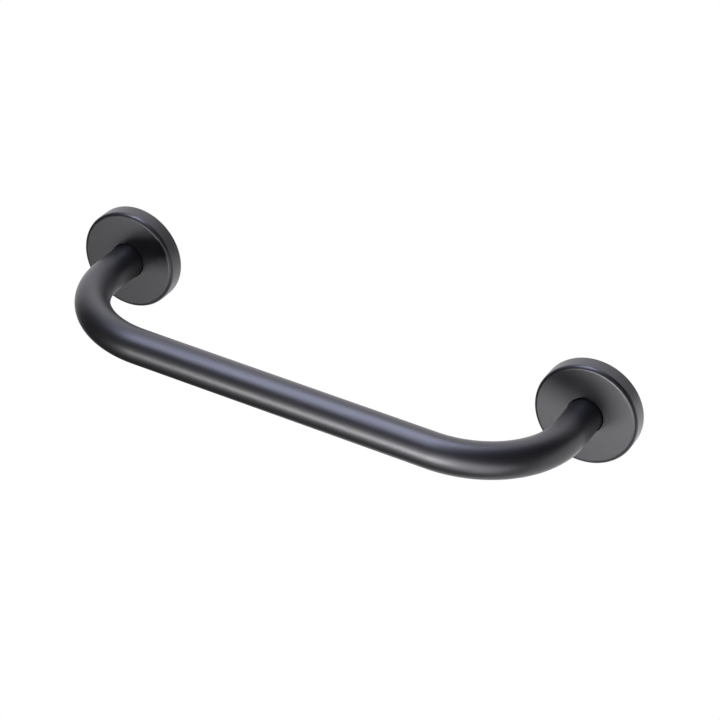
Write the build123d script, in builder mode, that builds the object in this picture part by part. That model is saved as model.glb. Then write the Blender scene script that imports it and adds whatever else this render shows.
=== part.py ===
"""Grab bar: a round tube with two bends, welded to base flanges that are hidden under sliding cover roses.

Frame: the origin lies on the wall, midway between the two legs. +X runs along the bar, +Y goes into the wall
and +Z is up, so the bar stands out from the wall towards -Y.
"""

import os

from build123d import *

# Driving sizes, in millimetres
fixing_centres = 315.0  # between the axes of the two legs
leg_length = 35.0  # straight part of a leg, from the wall to the start of its bend
bend_radius = 60.0  # at the tube's centre line
tube_diameter = 22.0
tube_wall = 1.5
tube_setback = 0.5  # the tube's cut ends stop this far short of the wall

rose_diameter = 65.0
rose_height = 12.0  # from the wall to the front face
rose_sheet = 1.2
rose_edge_radius = 2.5  # outer edge of the front face
rose_lip_radius = 0.3  # front edge of the tube hole
rose_tube_clearance = 0.5  # all round the tube
rose_wall_clearance = 0.3  # between the skirt and the wall

flange_thickness = 4.0
flange_clearance = 0.3  # all round, inside the skirt of the rose
flange_chamfer = 0.8  # leads the skirt over the rim
bore_clearance = 0.1  # all round the tube's end, closed by the weld
weld_leg = 3.0
weld_crown = 0.35  # how far the bead's face stands out of flat

screw_count = 3
screw_hole_diameter = 5.5
screw_head_diameter = 10.5
screw_head_angle = 90.0

# Sizes that follow
half_span = fixing_centres / 2
stand_off = leg_length + bend_radius  # from the wall to the bar's axis
tube_radius = tube_diameter / 2
rose_radius = rose_diameter / 2
skirt_inner_radius = rose_radius - rose_sheet
rose_corner_radius = rose_edge_radius - rose_sheet  # inside the cup, so that the sheet keeps its thickness
flange_radius = skirt_inner_radius - flange_clearance
weld_toe_radius = tube_radius + weld_leg
screw_circle_radius = (weld_toe_radius + flange_radius) / 2  # midway between the weld and the rim

os.makedirs("parts", exist_ok=True)


# The tube: a ring swept along two legs, two bends and the straight grip
with BuildPart() as bar_tube:
    with BuildLine(Plane.XY) as bar_path:
        FilletPolyline(
            (-half_span, -tube_setback),
            (-half_span, -stand_off),
            (half_span, -stand_off),
            (half_span, -tube_setback),
            radius=bend_radius,
        )
    with BuildSketch(Plane(origin=bar_path.line @ 0, z_dir=bar_path.line % 0)):
        Circle(tube_radius)
        Circle(tube_radius - tube_wall, mode=Mode.SUBTRACT)
    sweep()
bar_tube.part.label = "bar_tube"
export_step(bar_tube.part, "parts/bar_tube.step")


# Each end has a flange, a weld and a cover rose. The seat plane lies on the wall and faces the room, and its
# X points at the other end, so that the two ends mirror each other.
for side, outward in (("left", -1), ("right", 1)):
    seat = Plane(origin=(outward * half_span, 0, 0), x_dir=(-outward, 0, 0), z_dir=(0, -1, 0))
    leg_axis = Axis(seat.origin, seat.z_dir)
    leg_section = Plane(origin=seat.origin, x_dir=seat.x_dir, z_dir=seat.x_dir.cross(seat.z_dir))

    # Base flange: a disc on the wall, bored for the tube, with countersunk screw holes
    with BuildPart() as base_flange:
        with BuildSketch(seat):
            Circle(flange_radius)
            Circle(tube_radius + bore_clearance, mode=Mode.SUBTRACT)
        extrude(amount=flange_thickness)
        front_rim = base_flange.edges().group_by(Axis.Y)[0].sort_by(SortBy.RADIUS)[-1]
        chamfer(front_rim, flange_chamfer)
        with Locations(seat.offset(flange_thickness)):
            with PolarLocations(screw_circle_radius, screw_count):
                CounterSinkHole(
                    radius=screw_hole_diameter / 2,
                    counter_sink_radius=screw_head_diameter / 2,
                    counter_sink_angle=screw_head_angle,
                )
    base_flange.part.label = f"{side}_base_flange"
    export_step(base_flange.part, f"parts/{side}_base_flange.step")

    # Weld bead: a slightly crowned fillet in the corner between the tube and the flange
    with BuildPart() as weld_bead:
        with BuildSketch(leg_section):
            with BuildLine():
                root = (tube_radius, flange_thickness)
                flange_toe = (weld_toe_radius, flange_thickness)
                tube_toe = (tube_radius, flange_thickness + weld_leg)
                Line(root, flange_toe)
                SagittaArc(flange_toe, tube_toe, -weld_crown)
                Line(tube_toe, root)
            make_face()
        revolve(axis=leg_axis)
    weld_bead.part.label = f"{side}_weld_bead"
    export_step(weld_bead.part, f"parts/{side}_weld_bead.step")

    # Cover rose: a shallow cup, open to the wall, with a rounded front edge and a hole for the tube
    with BuildPart() as cover_rose:
        with BuildSketch(seat.offset(rose_wall_clearance)):
            Circle(rose_radius)
        extrude(amount=rose_height - rose_wall_clearance)
        front_edge = cover_rose.edges().group_by(Axis.Y)[0]
        fillet(front_edge, rose_edge_radius)
        with BuildSketch(seat.offset(rose_wall_clearance)):
            Circle(skirt_inner_radius)
        extrude(amount=rose_height - rose_wall_clearance - rose_sheet, mode=Mode.SUBTRACT)
        cup_corner = cover_rose.edges(Select.LAST).group_by(Axis.Y)[0]
        fillet(cup_corner, rose_corner_radius)
        with Locations(seat.offset(rose_height)):
            Hole(radius=tube_radius + rose_tube_clearance)
        hole_front = cover_rose.edges(Select.LAST).group_by(Axis.Y)[0]
        fillet(hole_front, rose_lip_radius)
    cover_rose.part.label = f"{side}_cover_rose"
    export_step(cover_rose.part, f"parts/{side}_cover_rose.step")
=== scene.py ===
# Grab bar: satin black tube, cover roses, base flanges and weld beads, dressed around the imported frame
import math

import bmesh
import bpy
from mathutils import Matrix, Vector


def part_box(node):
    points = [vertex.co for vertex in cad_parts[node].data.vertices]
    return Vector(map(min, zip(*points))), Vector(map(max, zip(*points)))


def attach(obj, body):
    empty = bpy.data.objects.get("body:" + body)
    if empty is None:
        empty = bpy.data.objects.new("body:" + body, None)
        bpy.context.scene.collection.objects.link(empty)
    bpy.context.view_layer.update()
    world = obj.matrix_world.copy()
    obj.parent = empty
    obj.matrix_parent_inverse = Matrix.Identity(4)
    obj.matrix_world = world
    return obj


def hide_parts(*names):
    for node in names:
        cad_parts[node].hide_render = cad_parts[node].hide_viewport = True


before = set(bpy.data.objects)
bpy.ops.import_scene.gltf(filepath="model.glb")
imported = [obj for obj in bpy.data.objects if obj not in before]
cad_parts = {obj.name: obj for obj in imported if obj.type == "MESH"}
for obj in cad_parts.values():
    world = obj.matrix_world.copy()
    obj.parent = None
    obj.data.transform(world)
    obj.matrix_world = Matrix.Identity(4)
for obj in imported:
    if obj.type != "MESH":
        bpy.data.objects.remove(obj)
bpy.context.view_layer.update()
sides = ("left", "right")
print("frame loaded:", ", ".join(sorted(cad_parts)))


# sizes read off the frame, in metres
tubeLow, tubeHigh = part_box("bar_tube")
tubeRadius = (tubeHigh.z - tubeLow.z) / 2
legX = tubeHigh.x - tubeRadius
standOff = -tubeLow.y - tubeRadius  # wall to the bar's axis
tubeCutY = tubeHigh.y  # the tube's cut ends stop just short of the wall


# mesh helpers
def arcPoints(centre, radius, fromDeg, toDeg, steps):  # round stretch of a section, both ends included
    points = []
    for i in range(steps + 1):
        angle = math.radians(fromDeg + (toDeg - fromDeg) * i / steps)
        points.append((centre[0] + radius * math.cos(angle), centre[1] + radius * math.sin(angle)))
    return points


def joinRings(bm, rings, closed):  # quads between neighbouring rings of equal count
    last = len(rings) if closed else len(rings) - 1
    for i in range(last):
        one = rings[i]
        two = rings[(i + 1) % len(rings)]
        count = len(one)
        for j in range(count):
            k = (j + 1) % count
            bm.faces.new((one[j], one[k], two[k], two[j]))


def latheRings(bm, section, centreX, centreZ, around):  # section is (radius, height off the wall)
    rings = []
    for radius, height in section:
        ring = []
        for j in range(around):
            angle = 2 * math.pi * j / around
            x = centreX + radius * math.cos(angle)
            z = centreZ + radius * math.sin(angle)
            ring.append(bm.verts.new((x, -height, z)))
        rings.append(ring)
    return rings


def ringEdges(bm, ring):
    return [bm.edges.get((ring[j], ring[(j + 1) % len(ring)])) for j in range(len(ring))]


def pieceFrom(bm, name, material, flats=()):  # closes up the mesh as a smooth shaded piece
    bmesh.ops.recalc_face_normals(bm, faces=bm.faces)
    for face in bm.faces:
        face.smooth = True
    for face in flats:
        face.smooth = False
    mesh = bpy.data.meshes.new(name)
    bm.to_mesh(mesh)
    bm.free()
    mesh.materials.append(material)
    piece = bpy.data.objects.new(name, mesh)
    bpy.context.scene.collection.objects.link(piece)
    evenNormals = piece.modifiers.new("evenNormals", "WEIGHTED_NORMAL")
    evenNormals.weight = 100  # flats stay flat beside small rounds
    evenNormals.keep_sharp = True
    return piece


def dress(piece, body, node):  # rides on its body and stands for its solid
    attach(piece, body)
    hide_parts(node)


# shared coat effect: slow drift of tone and gloss, orange peel and powder grain
def buildCoatGrain():
    group = bpy.data.node_groups.new("coatGrain", "ShaderNodeTree")
    sockets = (
        ("Tone", "INPUT", "NodeSocketColor"),
        ("Tone Drift", "INPUT", "NodeSocketFloat"),
        ("Gloss Base", "INPUT", "NodeSocketFloat"),
        ("Gloss Drift", "INPUT", "NodeSocketFloat"),
        ("Drift Size", "INPUT", "NodeSocketFloat"),
        ("Peel Size", "INPUT", "NodeSocketFloat"),
        ("Grain Size", "INPUT", "NodeSocketFloat"),
        ("Grain Share", "INPUT", "NodeSocketFloat"),
        ("Coat Color", "OUTPUT", "NodeSocketColor"),
        ("Coat Roughness", "OUTPUT", "NodeSocketFloat"),
        ("Coat Height", "OUTPUT", "NodeSocketFloat"),
    )
    for name, direction, kind in sockets:
        group.interface.new_socket(name=name, in_out=direction, socket_type=kind)
    nodes = group.nodes
    links = group.links
    given = nodes.new("NodeGroupInput")
    result = nodes.new("NodeGroupOutput")
    place = nodes.new("ShaderNodeTexCoord")

    def noiseOf(sizeSocket, detail, rough):  # noise whose features are about that size in metres
        scale = nodes.new("ShaderNodeMath")
        scale.operation = "DIVIDE"
        scale.inputs[0].default_value = 1.0
        links.new(given.outputs[sizeSocket], scale.inputs[1])
        noise = nodes.new("ShaderNodeTexNoise")
        noise.inputs["Detail"].default_value = detail
        noise.inputs["Roughness"].default_value = rough
        links.new(place.outputs["Object"], noise.inputs["Vector"])
        links.new(scale.outputs[0], noise.inputs["Scale"])
        return noise.outputs["Fac"]

    def aroundZero(value):  # 0..1 becomes -1..1
        shift = nodes.new("ShaderNodeMath")
        shift.operation = "MULTIPLY_ADD"
        shift.inputs[1].default_value = 2.0
        shift.inputs[2].default_value = -1.0
        links.new(value, shift.inputs[0])
        return shift.outputs[0]

    def addScaled(value, amountSocket, base):  # base + value * amount
        total = nodes.new("ShaderNodeMath")
        total.operation = "MULTIPLY_ADD"
        links.new(value, total.inputs[0])
        links.new(given.outputs[amountSocket], total.inputs[1])
        if isinstance(base, float):
            total.inputs[2].default_value = base
        else:
            links.new(base, total.inputs[2])
        return total.outputs[0]

    drift = aroundZero(noiseOf("Drift Size", detail=3.0, rough=0.55))
    peel = noiseOf("Peel Size", detail=3.0, rough=0.5)
    grain = noiseOf("Grain Size", detail=2.0, rough=0.6)

    toneFactor = addScaled(drift, "Tone Drift", 1.0)
    tone = nodes.new("ShaderNodeVectorMath")
    tone.operation = "SCALE"
    links.new(given.outputs["Tone"], tone.inputs[0])
    links.new(toneFactor, tone.inputs["Scale"])
    links.new(tone.outputs[0], result.inputs["Coat Color"])

    gloss = addScaled(drift, "Gloss Drift", given.outputs["Gloss Base"])
    links.new(gloss, result.inputs["Coat Roughness"])

    height = addScaled(grain, "Grain Share", peel)
    links.new(height, result.inputs["Coat Height"])
    return group


coatGrain = buildCoatGrain()
print("coat grain group made")


def coatMaterial(look):  # powder coat of one piece, with its own share of the coat grain
    material = bpy.data.materials.new(look["name"])
    material.use_nodes = True
    nodes = material.node_tree.nodes
    links = material.node_tree.links
    shader = nodes["Principled BSDF"]
    shader.inputs["IOR"].default_value = look["ior"]
    grain = nodes.new("ShaderNodeGroup")
    grain.node_tree = coatGrain
    grain.inputs["Tone"].default_value = (*look["tone"], 1.0)
    grain.inputs["Tone Drift"].default_value = look["toneDrift"]
    grain.inputs["Gloss Base"].default_value = look["roughness"]
    grain.inputs["Gloss Drift"].default_value = look["roughnessDrift"]
    grain.inputs["Drift Size"].default_value = look["driftSize"]
    grain.inputs["Peel Size"].default_value = look["peelSize"]
    grain.inputs["Grain Size"].default_value = look["grainSize"]
    grain.inputs["Grain Share"].default_value = look["grainShare"]
    bump = nodes.new("ShaderNodeBump")
    bump.inputs["Strength"].default_value = 1.0
    bump.inputs["Distance"].default_value = look["peelDepth"]
    links.new(grain.outputs["Coat Height"], bump.inputs["Height"])
    links.new(grain.outputs["Coat Color"], shader.inputs["Base Color"])
    links.new(grain.outputs["Coat Roughness"], shader.inputs["Roughness"])
    links.new(bump.outputs["Normal"], shader.inputs["Normal"])
    return material


# the tube: one skin that runs along the outside, over the cut end, and back along the bore
tubeShape = {
    "bendRadius": 0.060,  # at the centre line
    "wall": 0.0015,
    "endRound": 0.0003,  # deburred cut ends
    "around": 128,
    "bendSteps": 56,
    "boreBendSteps": 28,
    "gripSteps": 16,
    "legSteps": 4,
    "roundSteps": 4,
}
tubeCoat = {
    "name": "coatedTube",
    "tone": (0.005, 0.005, 0.0053),
    "toneDrift": 0.06,
    "roughness": 0.42,
    "roughnessDrift": 0.02,
    "ior": 1.65,
    "driftSize": 0.05,
    "peelSize": 0.0026,
    "grainSize": 0.00022,
    "grainShare": 0.12,
    "peelDepth": 0.00002,
}


def tubePath(bendSteps, gripSteps, legSteps, endGap):  # (x, y, heading) from left end to right end
    bend = tubeShape["bendRadius"]
    legEnd = standOff - bend
    stations = []
    for i in range(legSteps):
        y = tubeCutY - endGap + (-legEnd - tubeCutY + endGap) * i / legSteps
        stations.append((-legX, y, -math.pi / 2))
    for i in range(bendSteps):
        turn = math.pi / 2 * i / bendSteps
        x = -legX + bend - bend * math.cos(turn)
        y = -legEnd - bend * math.sin(turn)
        stations.append((x, y, turn - math.pi / 2))
    gripHalf = legX - bend
    for i in range(gripSteps + 1):
        stations.append((-gripHalf + 2 * gripHalf * i / gripSteps, -standOff, 0.0))
    mirrored = []
    for x, y, heading in stations[:legSteps + bendSteps]:
        mirrored.append((-x, y, -heading))
    return stations + mirrored[::-1]


def tubeRing(bm, station, radius, along):  # one ring across the path, moved along it
    x, y, heading = station
    ahead = Vector((math.cos(heading), math.sin(heading), 0))
    aside = Vector((-ahead.y, ahead.x, 0))
    centre = Vector((x, y, 0)) + ahead * along
    ring = []
    for j in range(tubeShape["around"]):
        angle = 2 * math.pi * j / tubeShape["around"]
        offset = aside * radius * math.cos(angle) + Vector((0, 0, radius * math.sin(angle)))
        ring.append(bm.verts.new(centre + offset))
    return ring


def buildTube(material):
    bm = bmesh.new()
    edge = tubeShape["endRound"]
    boreRadius = tubeRadius - tubeShape["wall"]
    outside = tubePath(tubeShape["bendSteps"], tubeShape["gripSteps"], tubeShape["legSteps"], edge)
    inside = tubePath(tubeShape["boreBendSteps"], tubeShape["gripSteps"], tubeShape["legSteps"], edge)
    outerRound = arcPoints((tubeRadius - edge, 0), edge, 0, 90, tubeShape["roundSteps"])
    innerRound = arcPoints((boreRadius + edge, 0), edge, 90, 180, tubeShape["roundSteps"])
    endSection = outerRound + innerRound
    rings = [tubeRing(bm, station, tubeRadius, 0) for station in outside[:-1]]
    rings += [tubeRing(bm, outside[-1], radius, along) for radius, along in endSection]
    rings += [tubeRing(bm, station, boreRadius, 0) for station in inside[-2:0:-1]]
    rings += [tubeRing(bm, outside[0], radius, -along) for radius, along in endSection[:0:-1]]
    joinRings(bm, rings, closed=True)
    return pieceFrom(bm, "barTube", material)


barTube = buildTube(coatMaterial(tubeCoat))
dress(barTube, "bar", "bar_tube")
print("tube:", len(barTube.data.polygons), "faces")


# cover roses: pressed cups with a rounded front edge, a lipped tube hole and a soft rim at the wall
roseShape = {
    "sheet": 0.0012,
    "edgeRadius": 0.0025,
    "lipRadius": 0.0003,
    "rimRadius": 0.0004,
    "tubeClearance": 0.0005,
    "around": 192,
    "edgeSteps": 12,
    "smallSteps": 5,
}
roseCoat = {
    "name": "coatedRose",
    "tone": (0.005, 0.005, 0.0053),
    "toneDrift": 0.06,
    "roughness": 0.42,
    "roughnessDrift": 0.02,
    "ior": 1.65,
    "driftSize": 0.03,
    "peelSize": 0.0026,
    "grainSize": 0.00022,
    "grainShare": 0.12,
    "peelDepth": 0.000024,
}


def roseSection(radius, rimHeight, faceHeight):  # (radius, height) round the sheet, from the rim
    sheet = roseShape["sheet"]
    edge = roseShape["edgeRadius"]
    corner = edge - sheet  # the sheet keeps its thickness round the edge
    lip = roseShape["lipRadius"]
    rim = roseShape["rimRadius"]
    small = roseShape["smallSteps"]
    hole = tubeRadius + roseShape["tubeClearance"]
    inner = radius - sheet
    under = faceHeight - sheet
    section = arcPoints((radius - rim, rimHeight + rim), rim, -90, 0, small)
    section += arcPoints((radius - edge, faceHeight - edge), edge, 0, 90, roseShape["edgeSteps"])
    section += arcPoints((hole + lip, faceHeight - lip), lip, 90, 180, small)
    section += arcPoints((hole + lip, under + lip), lip, 180, 270, small)
    section += arcPoints((inner - corner, under - corner), corner, 90, 0, small)
    section += arcPoints((inner + rim, rimHeight + rim), rim, 180, 270, small)
    return section


def buildRose(side, material):
    low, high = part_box(side + "_cover_rose")
    radius = (high.x - low.x) / 2
    bm = bmesh.new()
    section = roseSection(radius, -high.y, -low.y)
    rings = latheRings(bm, section, (low.x + high.x) / 2, 0, roseShape["around"])
    joinRings(bm, rings, closed=True)
    return pieceFrom(bm, side + "CoverRose", material)


roseMaterial = coatMaterial(roseCoat)
for side in sides:
    rose = buildRose(side, roseMaterial)
    dress(rose, side + "_cover", side + "_cover_rose")
    print(side, "cover rose:", len(rose.data.polygons), "faces")


# base flanges: flat discs with a chamfered rim, a bore for the tube and countersunk screw holes
flangeShape = {
    "chamfer": 0.0008,
    "softEdge": 0.00015,
    "boreClearance": 0.0001,
    "holeRadius": 0.00275,
    "headRadius": 0.00525,
    "holeCircle": 0.0225,
    "holeCount": 3,
    "around": 192,
    "holeAround": 64,
    "softSteps": 3,
}
slopeNip = flangeShape["softEdge"] * math.tan(math.radians(45 / 2))  # a soft edge beside a 45 degree slope
flangeCoat = {
    "name": "coatedFlange",
    "tone": (0.014, 0.014, 0.015),
    "toneDrift": 0.12,
    "roughness": 0.46,
    "roughnessDrift": 0.05,
    "ior": 1.65,
    "driftSize": 0.018,
    "peelSize": 0.0011,
    "grainSize": 0.0002,
    "grainShare": 0.4,
    "peelDepth": 0.00001,
}


def flangeRimSection(radius, thickness):  # from the back face round the rim to the front face
    soft = flangeShape["softEdge"]
    steps = flangeShape["softSteps"]
    chamfer = flangeShape["chamfer"]
    section = arcPoints((radius - soft, soft), soft, -90, 0, steps)
    section += arcPoints((radius - soft, thickness - chamfer - slopeNip), soft, 0, 45, steps)
    section += arcPoints((radius - chamfer - slopeNip, thickness - soft), soft, 45, 90, steps)
    return section


def screwHoleSection(thickness):  # from the front face down the countersink to the back face
    soft = flangeShape["softEdge"]
    steps = flangeShape["softSteps"]
    hole = flangeShape["holeRadius"]
    head = flangeShape["headRadius"]
    coneFoot = thickness - (head - hole)  # the countersink is at 45 degrees to the axis
    section = arcPoints((head + slopeNip, thickness - soft), soft, 90, 135, steps)
    section += [(hole, coneFoot)]
    section += arcPoints((hole + soft, soft), soft, 180, 270, steps)
    return section


def buildFlange(side, material):
    low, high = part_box(side + "_base_flange")
    centreX = (low.x + high.x) / 2
    thickness = high.y - low.y
    inward = 1 if side == "left" else -1  # one screw hole points at the other end
    around = flangeShape["around"]
    bm = bmesh.new()
    rimSection = flangeRimSection((high.x - low.x) / 2, thickness)
    rim = latheRings(bm, rimSection, centreX, 0, around)
    boreRadius = tubeRadius + flangeShape["boreClearance"]
    bore = latheRings(bm, [(boreRadius, thickness), (boreRadius, 0)], centreX, 0, around)
    walls = [bore]
    for i in range(flangeShape["holeCount"]):
        angle = 2 * math.pi * i / flangeShape["holeCount"]
        x = centreX + inward * flangeShape["holeCircle"] * math.cos(angle)
        z = flangeShape["holeCircle"] * math.sin(angle)
        walls.append(latheRings(bm, screwHoleSection(thickness), x, z, flangeShape["holeAround"]))
    for rings in [rim, *walls]:
        joinRings(bm, rings, closed=False)
    backLoops = [rim[0]] + [rings[-1] for rings in walls]
    frontLoops = [rim[-1]] + [rings[0] for rings in walls]
    flats = []
    for loops in (backLoops, frontLoops):
        edges = [edge for ring in loops for edge in ringEdges(bm, ring)]
        filled = bmesh.ops.triangle_fill(bm, use_beauty=True, use_dissolve=False, edges=edges)
        flats += [item for item in filled["geom"] if isinstance(item, bmesh.types.BMFace)]
    return pieceFrom(bm, side + "BaseFlange", material, flats)


flangeMaterial = coatMaterial(flangeCoat)
for side in sides:
    flange = buildFlange(side, flangeMaterial)
    dress(flange, "bar", side + "_base_flange")
    print(side, "base flange:", len(flange.data.polygons), "faces")


# weld beads: crowned fillets with the ripples of a bead laid in one run round the tube
beadShape = {
    "leg": 0.003,
    "crown": 0.00035,
    "sink": 0.00005,  # the bead's back lies just inside the tube and the flange
    "rippleCount": 46,
    "rippleDepth": 0.00016,
    "rippleBow": 0.55,  # how far the middle of a ripple runs ahead of its toes, in ripples
    "ripplePower": 1.6,  # higher makes each ripple a flatter scale
    "waver": 0.00012,  # slow change of the leg's size round the tube
    "waves": ((3, 1.0, 0.7), (7, 0.6, 2.1)),  # the waver's (waves round the tube, share, shift)
    "around": 460,
    "faceSteps": 16,
}
beadCoat = {
    "name": "coatedWeld",
    "tone": (0.013, 0.013, 0.014),
    "toneDrift": 0.1,
    "roughness": 0.42,
    "roughnessDrift": 0.05,
    "ior": 1.65,
    "driftSize": 0.006,
    "peelSize": 0.0009,
    "grainSize": 0.0002,
    "grainShare": 0.35,
    "peelDepth": 0.000008,
}


def beadPoint(share, angle):  # share runs from the toe on the flange, 0, to the toe on the tube, 1
    bow = math.sin(math.pi * share)
    waves = beadShape["waves"]
    swing = sum(part * math.sin(count * angle + shift) for count, part, shift in waves)
    widest = sum(part for count, part, shift in waves)  # keeps the bead within its full leg
    leg = beadShape["leg"] - widest * beadShape["waver"] + beadShape["waver"] * swing
    phase = beadShape["rippleCount"] * angle / (2 * math.pi) + beadShape["rippleBow"] * bow
    crest = 1 - abs(2 * (phase % 1) - 1) ** beadShape["ripplePower"]
    rise = beadShape["crown"] * bow + beadShape["rippleDepth"] * (crest - 1) * bow ** 0.5
    out = rise * math.sqrt(0.5)  # the face slopes at 45 degrees
    return leg * (1 - share) + out, leg * share + out


def buildBead(side, material):
    flangeLow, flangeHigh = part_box(side + "_base_flange")
    centreX = (flangeLow.x + flangeHigh.x) / 2
    flangeFront = -flangeLow.y
    steps = beadShape["faceSteps"]
    sink = beadShape["sink"]
    around = beadShape["around"]
    bm = bmesh.new()
    rings = [[] for i in range(steps + 2)]
    for j in range(around):
        angle = 2 * math.pi * j / around
        section = [beadPoint(i / steps, angle) for i in range(steps + 1)]
        section[0] = (section[0][0], -sink)
        section[-1] = (-sink, section[-1][1])
        section.append((-sink, -sink))
        for ring, (outward, height) in zip(rings, section):
            radius = tubeRadius + outward
            x = centreX + radius * math.cos(angle)
            z = radius * math.sin(angle)
            ring.append(bm.verts.new((x, -flangeFront - height, z)))
    joinRings(bm, rings, closed=True)
    return pieceFrom(bm, side + "WeldBead", material)


beadMaterial = coatMaterial(beadCoat)
for side in sides:
    bead = buildBead(side, beadMaterial)
    dress(bead, "bar", side + "_weld_bead")
    print(side, "weld bead:", len(bead.data.polygons), "faces")


# camera at the photograph's viewing angle
cameraView = {
    "azimuth": 24.518,
    "elevation": 32.109,
    "roll": 5.323,
    "distance": 1.36739,
    "target": (0.02073, -0.0352, 0.00168),
    "lens": 114.234,  # this and the sensor in mm
    "sensor": 36.0,
}


def directionOf(azimuth, elevation):  # degrees; azimuth 0 is straight out from the wall
    turn = math.radians(azimuth)
    lift = math.radians(elevation)
    return Vector((math.sin(turn) * math.cos(lift), -math.cos(turn) * math.cos(lift), math.sin(lift)))


def placeFacing(item, target, look):  # stands off from the target and looks back at it
    outward = directionOf(look["azimuth"], look["elevation"])
    upright = outward.to_track_quat("Z", "Y").to_matrix()
    turned = upright @ Matrix.Rotation(math.radians(look["roll"]), 3, "Z")
    item.matrix_world = Matrix.LocRotScale(target + outward * look["distance"], turned, None)


def addCamera():
    data = bpy.data.cameras.new("studioCamera")
    data.lens = cameraView["lens"]
    data.sensor_width = cameraView["sensor"]
    camera = bpy.data.objects.new("studioCamera", data)
    bpy.context.scene.collection.objects.link(camera)
    placeFacing(camera, Vector(cameraView["target"]), cameraView)
    bpy.context.scene.camera = camera


addCamera()
print("camera set")


# studio: three soft boxes, a white card, a white surround behind the object and a floor below it
softBoxes = {  # angles in degrees, lengths in metres
    "upperLeftBox": {
        "azimuth": -79.0,
        "elevation": 71.0,
        "roll": -28.5,
        "distance": 1.82,
        "width": 1.95,
        "height": 0.29,
        "radiance": 17.93,
        "color": (0.957, 1.0, 1.358),
    },
    "frontLowBox": {
        "azimuth": -10.0,
        "elevation": -14.0,
        "roll": 11.5,
        "distance": 1.70,
        "width": 0.96,
        "height": 0.38,
        "radiance": 21.9,
        "color": (1.006, 1.0, 1.045),
    },
    "frontRightBox": {
        "azimuth": 27.0,
        "elevation": -9.0,
        "roll": -25.0,
        "distance": 0.45,
        "width": 0.60,
        "height": 0.30,
        "radiance": 3.66,
        "color": (1.031, 1.0, 1.097),
    },
    "backRightCard": {
        "azimuth": 129.0,
        "elevation": -42.5,
        "roll": -60.0,
        "distance": 0.80,
        "width": 2.55,
        "height": 1.06,
        "radiance": 1.18,
        "color": (0.998, 1.0, 1.031),
    },
}
surround = {
    "behind": 1.36,  # level of the white surround behind the object
    "front": 0.0,  # dark studio on the camera's side
    "color": (1.028, 1.0, 1.062),
    "azimuth": -159.0,  # the middle of the white
    "elevation": 4.0,
    "from": 0.40,  # cosine of the angle off the middle where the white begins
    "to": 0.80,  # and where it is full
}
floorLook = {
    "drop": 0.9,  # a grab bar's height above the floor
    "size": 9.0,
    "tone": 0.18,  # for bounced light; the camera sees white
}


def addSoftBox(name, look):
    data = bpy.data.lights.new(name, "AREA")
    data.shape = "RECTANGLE"
    data.size = look["width"]
    data.size_y = look["height"]
    data.energy = look["radiance"] * math.pi * look["width"] * look["height"]
    data.color = look["color"]
    lamp = bpy.data.objects.new(name, data)
    bpy.context.scene.collection.objects.link(lamp)
    placeFacing(lamp, Vector((0, -standOff / 2, 0)), look)  # aimed between the bar and the wall
    lamp.visible_camera = False


def shownToCamera(tree, lit, shown):  # one shader for the light, another for the camera's own rays
    path = tree.nodes.new("ShaderNodeLightPath")
    mix = tree.nodes.new("ShaderNodeMixShader")
    tree.links.new(path.outputs["Is Camera Ray"], mix.inputs["Fac"])
    tree.links.new(lit.outputs[0], mix.inputs[1])
    tree.links.new(shown.outputs[0], mix.inputs[2])
    return mix.outputs[0]


def buildSurround():
    world = bpy.data.worlds.new("studioSurround")
    bpy.context.scene.world = world
    world.use_nodes = True
    nodes = world.node_tree.nodes
    links = world.node_tree.links
    nodes.clear()
    place = nodes.new("ShaderNodeTexCoord")
    along = nodes.new("ShaderNodeVectorMath")
    along.operation = "DOT_PRODUCT"
    along.inputs[1].default_value = directionOf(surround["azimuth"], surround["elevation"])
    links.new(place.outputs["Generated"], along.inputs[0])
    level = nodes.new("ShaderNodeMapRange")
    level.interpolation_type = "SMOOTHSTEP"
    level.inputs["From Min"].default_value = surround["from"]
    level.inputs["From Max"].default_value = surround["to"]
    level.inputs["To Min"].default_value = surround["front"]
    level.inputs["To Max"].default_value = surround["behind"]
    links.new(along.outputs["Value"], level.inputs["Value"])
    lit = nodes.new("ShaderNodeBackground")
    lit.inputs["Color"].default_value = (*surround["color"], 1)
    links.new(level.outputs["Result"], lit.inputs["Strength"])
    white = nodes.new("ShaderNodeBackground")
    white.inputs["Color"].default_value = (1, 1, 1, 1)
    output = nodes.new("ShaderNodeOutputWorld")
    links.new(shownToCamera(world.node_tree, lit, white), output.inputs["Surface"])


def buildFloor():
    half = floorLook["size"] / 2
    bm = bmesh.new()
    bmesh.ops.create_grid(bm, x_segments=1, y_segments=1, size=half)
    mesh = bpy.data.meshes.new("studioFloor")
    bm.to_mesh(mesh)
    bm.free()
    floor = bpy.data.objects.new("studioFloor", mesh)
    bpy.context.scene.collection.objects.link(floor)
    floor.location.z = -floorLook["drop"]
    material = bpy.data.materials.new("paleFloor")
    material.use_nodes = True
    nodes = material.node_tree.nodes
    links = material.node_tree.links
    nodes.clear()
    tone = floorLook["tone"]
    matt = nodes.new("ShaderNodeBsdfDiffuse")
    matt.inputs["Color"].default_value = (tone, tone, tone, 1)
    white = nodes.new("ShaderNodeEmission")  # as the photograph's background
    output = nodes.new("ShaderNodeOutputMaterial")
    links.new(shownToCamera(material.node_tree, matt, white), output.inputs["Surface"])
    mesh.materials.append(material)
    floor.visible_glossy = False  # the coat shows the white surround below the bar too


for boxName, boxLook in softBoxes.items():
    addSoftBox(boxName, boxLook)
buildSurround()
buildFloor()
bpy.context.scene.view_settings.view_transform = "Standard"
print("studio lit")
